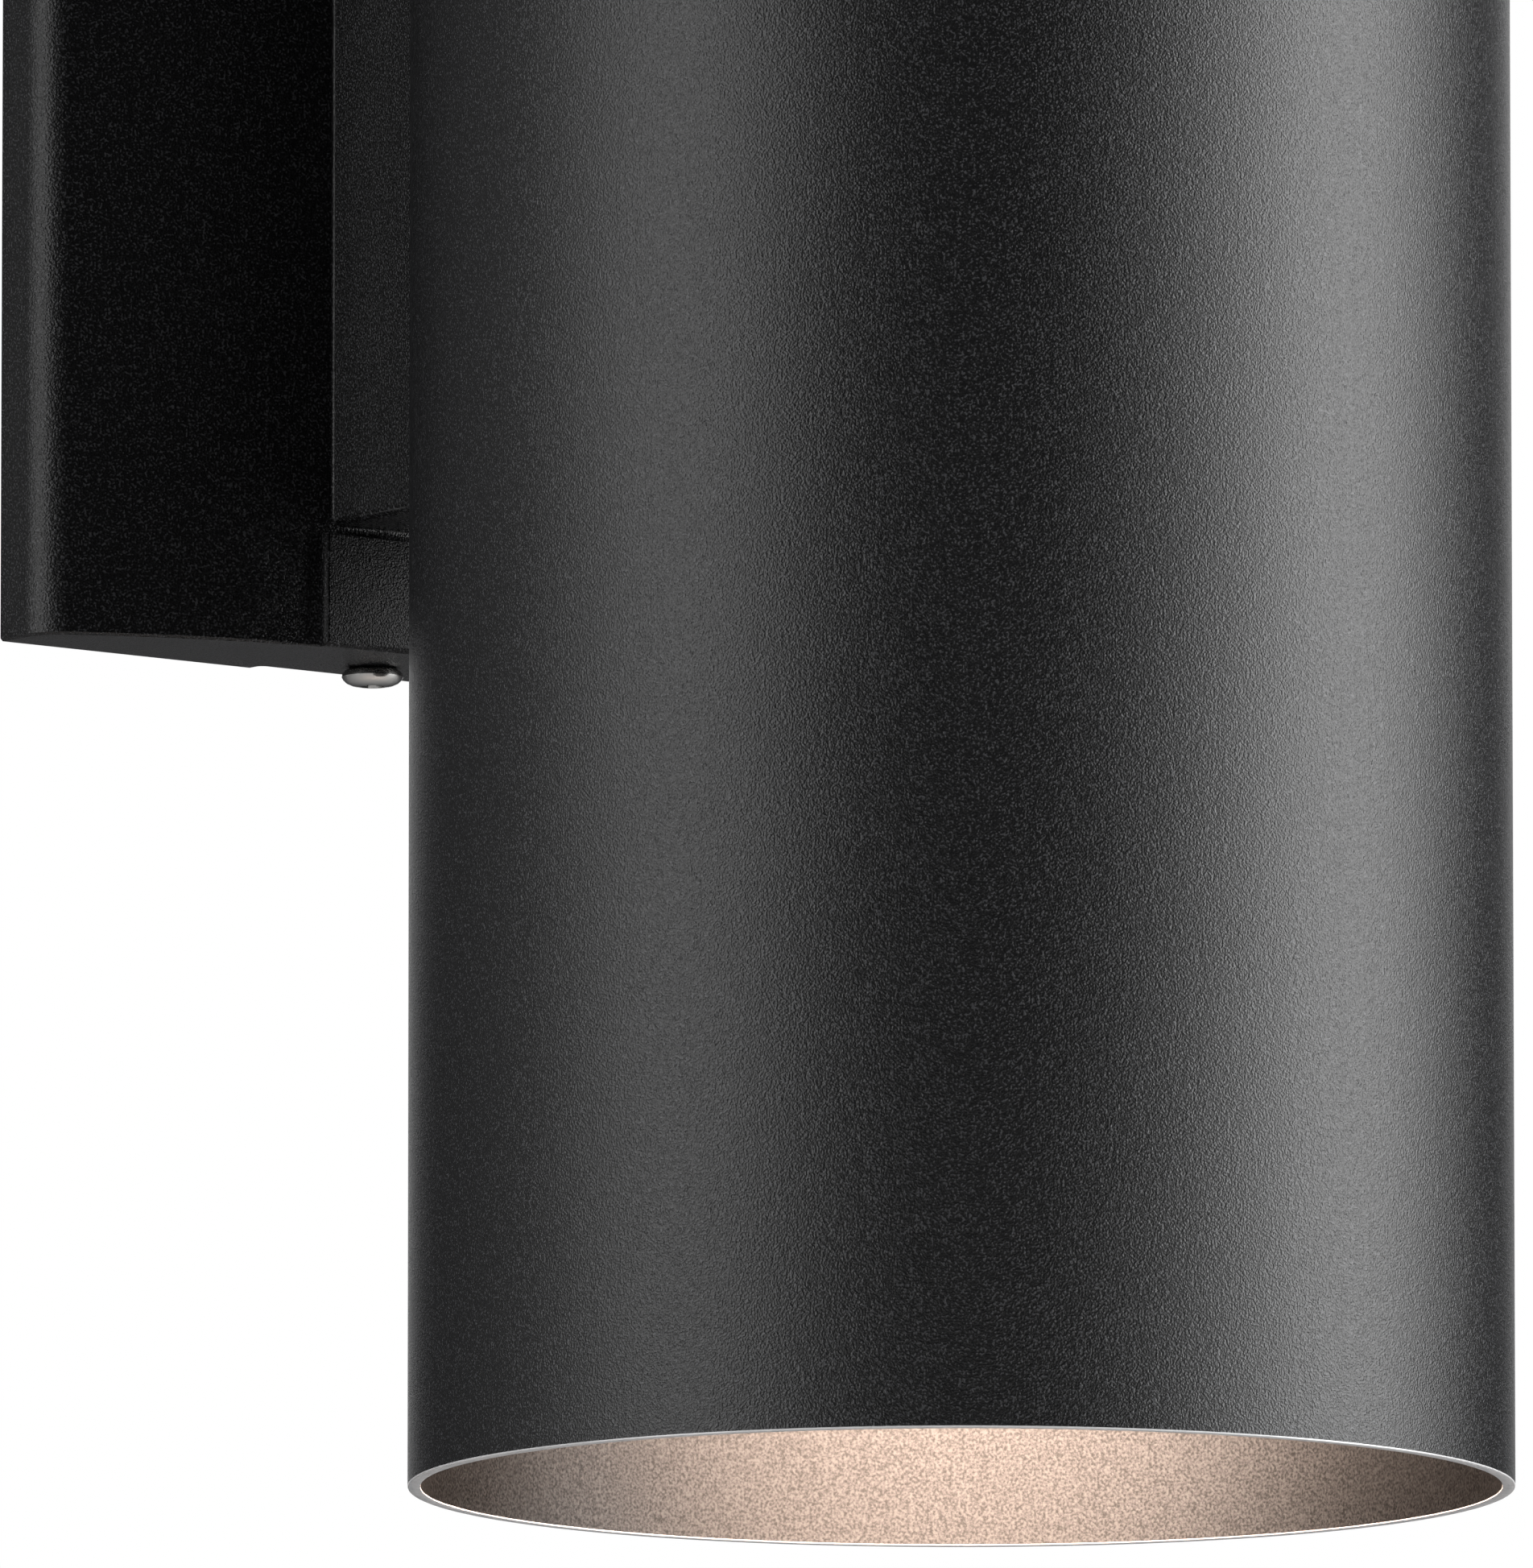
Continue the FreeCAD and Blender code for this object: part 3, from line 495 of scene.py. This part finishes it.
# Bridge screws: two short zinc-plated pan heads through the leg into the clamp block.
# They stand side by side, below the shelf.
BRIDGE_SHEET, BRIDGE_SCREW_Z = 2.0, -30.0

short_pair = bmesh.new()
for x in (-SCREW_COLUMN, SCREW_COLUMN):
    screw = pan_screw(diameter=7.6, height=2.4, thread=4.0, length=5.4)
    join(short_pair, set_down(screw, (x, CLAMP_FACE_Y - BRIDGE_SHEET, BRIDGE_SCREW_Z), TO_ROOM))
leg_screws = shown("leg_screws", short_pair, [zinc_plate], 40)
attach(leg_screws, "fixture")
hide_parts("bridge_screws")


# Lampholders: two glazed porcelain bodies, slip-cast and fired, their flanges back to back on
# the bridge's shelf. Each has a deep round socket. Heights are from the middle of the shelf.
ENDS = (("upper", 1), ("lower", -1))
SHELF_TOP, HOLDER_FLANGE_TOP, SOCKET_FLOOR, HOLDER_MOUTH = 1.0, 9.0, 10.0, 39.0
HOLDER_FLANGE_RADIUS, HOLDER_RADIUS, SOCKET_RADIUS = 26.0, 17.35, 14.15


def to_end(shape, side):
    """Moves a shape on the Z axis into the upper half of the tube, or turns it to the lower."""
    turn = Matrix.Rotation(0 if side > 0 else math.pi, 4, "X")
    shape.transform(Matrix.Translation((0, TUBE_Y * MM, 0)) @ turn)
    return shape


glaze = Finish("glaze", (0.80, 0.79, 0.75), Coat_Weight=0.4, Coat_Roughness=0.06, IOR=1.52)
glaze_pool = glaze.grain(80, detail=4)
glaze_speck = glaze.between(glaze.grain(900), 0.70, 0.78)
glaze_cream = glaze.blend(glaze_pool, (0.76, 0.75, 0.70), (0.86, 0.85, 0.82))
glaze.feed(Base_Color=glaze.blend(glaze_speck * 0.5, glaze_cream, (0.35, 0.30, 0.24)),
           Roughness=0.14 + glaze_pool * 0.10)
glaze.raise_by(glaze_pool, 0.2 * MM, 0.4)
for name, side in ENDS:
    body = spun([(0, SHELF_TOP), (HOLDER_FLANGE_RADIUS, SHELF_TOP),
                 (HOLDER_FLANGE_RADIUS, HOLDER_FLANGE_TOP), (HOLDER_RADIUS, HOLDER_FLANGE_TOP),
                 (HOLDER_RADIUS, HOLDER_MOUTH), (SOCKET_RADIUS, HOLDER_MOUTH),
                 (SOCKET_RADIUS, SOCKET_FLOOR), (0, SOCKET_FLOOR)], 72)
    soften(body, 0.9)
    holder = shown("porcelain_" + name, to_end(body, side), [glaze], 40)
    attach(holder, "fixture")
    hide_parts("lampholder_" + name)


# Holder bolts and nuts: two long zinc-plated screws down through both flanges and the shelf,
# each drawn up by a plain hexagon nut below.
BOLT_X, NUT_RADIUS, NUT_HEIGHT = 21.5, 4.04, 3.2

long_pair = bmesh.new()
hexagons = bmesh.new()
for x in (-BOLT_X, BOLT_X):
    bolt = pan_screw(diameter=7.6, height=2.4, thread=4.0, length=21.2)
    join(long_pair, set_down(bolt, (x, TUBE_Y, HOLDER_FLANGE_TOP), (0, 0, 1)))
    nut = bmesh.new()
    bmesh.ops.create_cone(nut, cap_ends=True, segments=6, radius1=NUT_RADIUS * MM,
                          radius2=NUT_RADIUS * MM, depth=NUT_HEIGHT * MM)
    soften(nut, 0.35, 2)
    join(hexagons, set_down(nut, (x, TUBE_Y, -HOLDER_FLANGE_TOP - NUT_HEIGHT / 2), (0, 0, 1)))
holder_screws = shown("holder_screws", long_pair, [zinc_plate], 40)
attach(holder_screws, "fixture")
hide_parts("holder_bolts")
hexagon_nuts = shown("hexagon_nuts", hexagons, [zinc_plate], 25)
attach(hexagon_nuts, "fixture")
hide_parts("holder_nuts")


# Socket shells: thin nickel-plated brass sleeves with a rolled thread, pressed into the
# porcelain. Their floor is open round the contact.
LAMP_PITCH, LAMP_THREAD_STEPS = 3.6, 64
SHELL_RADIUS, SHELL_START, SHELL_END = 14.0, 10.5, 36.5


def walled(piece, thickness):
    """Gives a bare surface its wall, inwards from where it stands."""
    wall = piece.modifiers.new("sheet", "SOLIDIFY")
    wall.thickness, wall.offset = thickness * MM, -1


shell_plate = bright_plate("shell_plate", (0.70, 0.66, 0.58), 0.18)
for name, side in ENDS:
    sleeve = rolled_thread(SHELL_RADIUS, 0.25, LAMP_PITCH, SHELL_START, SHELL_END,
                           LAMP_THREAD_STEPS)
    join(sleeve, spun([(8, 10.1), (13.95, 10.1), (13.95, 10.7)], LAMP_THREAD_STEPS))
    liner = shown("thread_shell_" + name, to_end(sleeve, side), [shell_plate], 50)
    walled(liner, 0.22)
    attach(liner, "fixture")
    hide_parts("socket_shell_" + name)


# Socket contacts: a stamped brass disc with a raised button at the bottom of each socket.
# The button springs against the solder tip of the lamp.
CONTACT_TOP = 13.0

contact_brass = bright_plate("contact_brass", (0.72, 0.50, 0.20), 0.22)
for name, side in ENDS:
    button = spun([(0, SOCKET_FLOOR), (5, SOCKET_FLOOR), (5, 10.8), (2.5, 10.8), (2.5, 12.2),
                   (1.4, CONTACT_TOP), (0, CONTACT_TOP)])
    soften(button, 0.2, 2)
    contact = shown("socket_button_" + name, to_end(button, side), [contact_brass], 40)
    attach(contact, "fixture")
    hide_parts("socket_contact_" + name)


# Lamps: two sealed reflector lamps that screw in base first. A solder tip and a dark glass
# insulator sit in a threaded brass base, crimped on a pressed glass bowl that is silvered
# inside and closed by a stippled, domed lens. Heights are from the lamp's tip, base first.
TIP_GAP = 0.3
BASE_START, BASE_END = 5.0, 27.0
NECK_RADIUS, NECK_TOP, BAND_RADIUS, BOWL_DEPTH, BOWL_EDGE = 19.0, 41.0, 60.5, 72.0, 126.0
BOWL_GLASS, BOWL_STEPS = 2.4, 20
LENS_CURVE, LENS_RISE, LENS_FRONT, LENS_GLASS = 207.8, 9.0, 135.0, 3.6
GLOW_STRENGTH, GLOW_PALE, GLOW_DEEP = 60.0, (1.0, 0.755, 0.630), (0.92, 0.682, 0.548)

solder = bright_plate("solder", (0.55, 0.55, 0.57), 0.35)
vitrite = Finish("vitrite", (0.012, 0.010, 0.016), IOR=1.6)
vitrite.feed(Roughness=0.08 + vitrite.grain(400, detail=3) * 0.14)
vitrite.raise_by(vitrite.grain(260, detail=3), 0.05 * MM, 0.5)
base_brass = bright_plate("base_brass", (0.76, 0.60, 0.34), 0.20)

silvering = Finish("silvering", (0.66, 0.67, 0.69), Metallic=0.9, Coat_Weight=0.8,
                   Coat_Roughness=0.04)
silver_cloud = silvering.grain(45, detail=4)
silvering.feed(
    Base_Color=silvering.blend(silver_cloud, (0.58, 0.59, 0.61), (0.74, 0.75, 0.77)),
    Roughness=0.12 + silver_cloud * 0.14)
silvering.raise_by(silvering.grain(60, detail=3), 0.3 * MM, 0.5)

lit_glass = Finish("lit_glass", (0.82, 0.80, 0.76), IOR=1.5, Emission_Strength=GLOW_STRENGTH)
stipple = lit_glass.cells(330, out="Distance")
lit_glass.feed(
    Emission_Color=lit_glass.blend(lit_glass.between(stipple, 0.1, 0.6), GLOW_PALE, GLOW_DEEP),
    Roughness=0.12 + stipple * 0.15)
lit_glass.raise_by(stipple, 0.5 * MM, 0.8)

for name, side in ENDS:
    body = "lamp_" + name
    tip = soften(spun([(0, 0), (2.9, 0), (4.8, 0.84), (4.8, 1.4), (0, 1.4)]), 0.25)
    collar = soften(spun([(0, 1.4), (5.8, 1.4), (12.6, BASE_START), (0, BASE_START)], 64), 0.4)
    cap = rolled_thread(13.1, 0.75, LAMP_PITCH, BASE_START, BASE_END, LAMP_THREAD_STEPS)
    join(cap, spun([(12.9, 26.9), (NECK_RADIUS, 31.67), (NECK_RADIUS, NECK_TOP)],
                   LAMP_THREAD_STEPS))
    shares = [(step / BOWL_STEPS) ** 2 for step in range(BOWL_STEPS + 1)]
    curve = [(math.sqrt(NECK_RADIUS ** 2 + (BAND_RADIUS ** 2 - NECK_RADIUS ** 2) * share),
              NECK_TOP + BOWL_DEPTH * share) for share in shares]
    outside = curve + [(BAND_RADIUS, BOWL_EDGE)]
    inside = [(radius - BOWL_GLASS, height) for radius, height in reversed(outside)]
    bowl = soften(spun(outside + inside, 128, True), 0.6, 2, 60)
    dome = bmesh.new()
    bmesh.ops.create_uvsphere(dome, u_segments=128, v_segments=512, radius=LENS_CURVE * MM)
    levelled(dome, LENS_CURVE - LENS_RISE, -1)
    bmesh.ops.translate(dome, verts=dome.verts, vec=(0, 0, (LENS_FRONT - LENS_CURVE) * MM))
    bmesh.ops.solidify(dome, geom=dome.faces[:], thickness=LENS_GLASS * MM)
    pieces = (("solder_tip_", tip, solder, "_contact", "lamp_tip"),
              ("glass_collar_", collar, vitrite, "_insulator", "lamp_insulator"),
              ("brass_cap_", cap, base_brass, "_base", "lamp_brass"),
              ("glass_bowl_", bowl, silvering, "_reflector", "lamp_mirror"),
              ("front_lens_", dome, lit_glass, "_lens", "lamp_lens"))
    for title, shape, finish, node, slot in pieces:
        shape.transform(Matrix.Translation((0, 0, (CONTACT_TOP + TIP_GAP) * MM)))
        piece = shown(title + name, to_end(shape, side), [finish], 50)
        if node == "_base":
            walled(piece, 0.3)
        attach(piece, body)
        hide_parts(body + node)


# Lens seat: a turned aluminium ledge, bonded into the bore near the upper end. The gasket, the
# lens and the retaining ring are stacked on it.
LEDGE_BOTTOM, LEDGE_TOP, GASKET_TOP, GLASS_TOP = 210.1, 215.1, 216.6, 220.6
OPENING_RADIUS, LEDGE_RADIUS, GLASS_RADIUS = 68.4, 74.25, 73.9


def flat_ring(inner, outer, low, high):
    """A flat ring with softened edges, on the Z axis."""
    ring = spun([(inner, low), (outer, low), (outer, high), (inner, high)], 192, True)
    return soften(ring, 0.3, 2)


seat_metal = Finish("seat_metal", (0.58, 0.58, 0.59), Metallic=1.0)
turning = seat_metal.grain(1800, stretch=(0.2, 0.2, 1))
seat_metal.feed(Base_Color=seat_metal.blend(turning, (0.50, 0.50, 0.51), (0.66, 0.66, 0.67)),
                Roughness=0.26 + turning * 0.18)
seat_metal.raise_by(turning, 0.02 * MM)
ledge = flat_ring(OPENING_RADIUS, LEDGE_RADIUS, LEDGE_BOTTOM, LEDGE_TOP)
seat = shown("ledge_ring", to_end(ledge, 1), [seat_metal], 40)
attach(seat, "fixture")
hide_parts("lens_seat")


# Lens gasket: a flat ring cut from milky silicone sheet, between the ledge and the lens.
# The ring above presses the lens down on it.
silicone = Finish("silicone", (0.60, 0.60, 0.58), IOR=1.41)
milk = silicone.grain(220, detail=3)
silicone.feed(Base_Color=silicone.blend(milk, (0.55, 0.55, 0.53), (0.66, 0.66, 0.64)),
              Roughness=0.48 + milk * 0.14)
silicone.raise_by(milk, 0.05 * MM, 0.5)
seal = flat_ring(OPENING_RADIUS, GLASS_RADIUS, LEDGE_TOP, GASKET_TOP)
gasket = shown("silicone_ring", to_end(seal, 1), [silicone], 40)
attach(gasket, "fixture")
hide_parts("lens_gasket")


# Upper lens: a disc of clear tempered glass with ground edges, which keeps the rain out.
# It lies on the gasket, with a little room round it.
clear_glass = Finish("clear_glass", (0.96, 0.98, 0.97), Transmission_Weight=1.0, IOR=1.5)
smears = clear_glass.between(clear_glass.grain(30, detail=4), 0.62, 0.9)
clear_glass.feed(Roughness=smears * 0.08)
disc = soften(spun([(0, GASKET_TOP), (GLASS_RADIUS, GASKET_TOP), (GLASS_RADIUS, GLASS_TOP),
                    (0, GLASS_TOP)], 192), 0.6)
lens = shown("tempered_disc", to_end(disc, 1), [clear_glass], 40)
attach(lens, "fixture")
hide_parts("lens_glass")


# Retaining ring: a split ring of spring wire, sprung into the bore on top of the lens.
# The gap between its ends leaves room to squeeze it out.
WIRE_RADIUS, RING_RADIUS, RING_SWEEP = 1.2, 73.05, 354

spring_plate = bright_plate("spring_plate", (0.58, 0.59, 0.60), 0.20)
ring = bmesh.new()
bmesh.ops.create_circle(ring, cap_ends=True, segments=16, radius=WIRE_RADIUS * MM)
bmesh.ops.rotate(ring, verts=ring.verts, cent=(0, 0, 0),
                 matrix=Matrix.Rotation(math.pi / 2, 3, "X"))
bmesh.ops.translate(ring, verts=ring.verts,
                    vec=(RING_RADIUS * MM, 0, (GLASS_TOP + WIRE_RADIUS) * MM))
turned(ring, math.radians(RING_SWEEP), 144)
bmesh.ops.recalc_face_normals(ring, faces=ring.faces)
wire_ring = shown("spring_ring", to_end(ring, 1), [spring_plate], 50)
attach(wire_ring, "fixture")
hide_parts("lens_ring")


# Studio floor: a wide pale sweep well below the light, which takes its shadow. The camera
# sees it lifted to near white, and from below it is left open.
FLOOR_Z, FLOOR_RADIUS, FLOOR_LIFT = -0.95, 5.0, 0.80

floor_paint = Finish("floor_paint", (0.65, 0.65, 0.65), Roughness=0.9)
in_view = floor_paint.node("ShaderNodeLightPath", out="Is Camera Ray")
from_below = floor_paint.node("ShaderNodeNewGeometry", out="Backfacing")
dark = floor_paint.node("ShaderNodeEmission", sockets={"Strength": 0.0})
white = floor_paint.node("ShaderNodeEmission",
                         sockets={"Color": (1, 1, 1, 1), "Strength": FLOOR_LIFT})
clear = floor_paint.node("ShaderNodeBsdfTransparent")
lift = floor_paint.node("ShaderNodeMixShader", sockets={0: in_view, 1: dark, 2: white})
painted = floor_paint.node("ShaderNodeAddShader", sockets={
    0: Wire(floor_paint, floor_paint.shader.outputs[0]), 1: lift})
open_below = floor_paint.node("ShaderNodeMixShader",
                              sockets={0: from_below, 1: painted, 2: clear})
floor_paint.lead(open_below, floor_paint.tree.nodes["Material Output"], "Surface")
sweep = bmesh.new()
bmesh.ops.create_circle(sweep, cap_ends=True, segments=96, radius=FLOOR_RADIUS)
bmesh.ops.translate(sweep, verts=sweep.verts, vec=(0, 0, FLOOR_Z))
bmesh.ops.recalc_face_normals(sweep, faces=sweep.faces)
floor = shown("studio_floor", sweep, [floor_paint])


# Studio light: six tall soft boxes in a ring, a group at the light's left and a stronger one
# at its right. Each is turned from the camera's side, in degrees to the right, and spreads to
# both sides of that; its distance is in metres.
AHEAD = Vector((0.61151, 0.77969, 0.13465))
RING_CENTRE, BOX_HEIGHT, BOX_LIFT = Vector((0, -0.12, 0)), 2.6, 0.02

for name, turn, spread, distance, radiance in (
        ("left_core", -60, 11, 1.50, 1.35),
        ("left_wide", -58, 26, 1.70, 0.80),
        ("left_rear", -106, 20, 1.70, 0.14),
        ("right_core", 85, 13, 1.50, 3.2),
        ("right_wide", 86, 28, 1.70, 1.80),
        ("right_front", 50, 11, 1.70, 0.95)):
    glow = bpy.data.lights.new(name, "AREA")
    glow.shape, glow.size_y = "RECTANGLE", BOX_HEIGHT
    glow.size = 2 * distance * math.tan(math.radians(spread))
    glow.energy = radiance * math.pi * glow.size * glow.size_y
    angle = math.atan2(-AHEAD.y, -AHEAD.x) + math.radians(turn)
    outwards = Vector((math.cos(angle), math.sin(angle), BOX_LIFT))
    box = bpy.data.objects.new(name, glow)
    box.location = RING_CENTRE + outwards * distance
    box.rotation_euler = outwards.to_track_quat("Z", "Y").to_euler()
    box.visible_camera = False
    bpy.context.scene.collection.objects.link(box)


# Studio room: white wherever the camera looks. Metal and glass see that white in a cone
# behind the object as the camera stands, and a dim room all round it.
BACKDROP_LIFT, BACKDROP_EDGE, BACKDROP_FULL = 0.32, 0.87, 0.955
DIM_ROOM, WHITE = (0.055, 0.055, 0.058), (1, 1, 1)

room = bpy.data.worlds.new("studio_room")
room.use_nodes = True
bpy.context.scene.world = room
air = Nodes(room.node_tree)
camera_ray, glossy_ray, clear_ray = (
    air.node("ShaderNodeLightPath", out=f"Is {kind} Ray")
    for kind in ("Camera", "Glossy", "Transmission"))
toward = air.node("ShaderNodeVectorMath", {"operation": "DOT_PRODUCT"}, {
    0: air.node("ShaderNodeTexCoord", out="Generated"),
    1: (AHEAD + Vector((0, 0, BACKDROP_LIFT))).normalized()}, out="Value")
backed = (glossy_ray + clear_ray) * air.between(toward, BACKDROP_EDGE, BACKDROP_FULL)
seen = air.node("ShaderNodeMath", {"operation": "ADD", "use_clamp": True},
                {0: camera_ray, 1: backed})
air.lead(air.blend(seen, DIM_ROOM, WHITE), air.tree.nodes["Background"], "Color")


# Camera: a long lens, a little below the light and to its left.
# It stands where the picture was taken and looks along AHEAD.
view = bpy.data.cameras.new("photo_view")
view.lens, view.sensor_width = 612.9, 36.0
view.clip_start, view.clip_end = 0.1, 100.0
camera = bpy.data.objects.new("photo_view", view)
camera.location = (-2.27433, -3.00038, -0.62698)
camera.rotation_euler = AHEAD.to_track_quat("-Z", "Y").to_euler()
bpy.context.scene.collection.objects.link(camera)
bpy.context.scene.camera = camera
bpy.context.scene.view_settings.view_transform = "Standard"
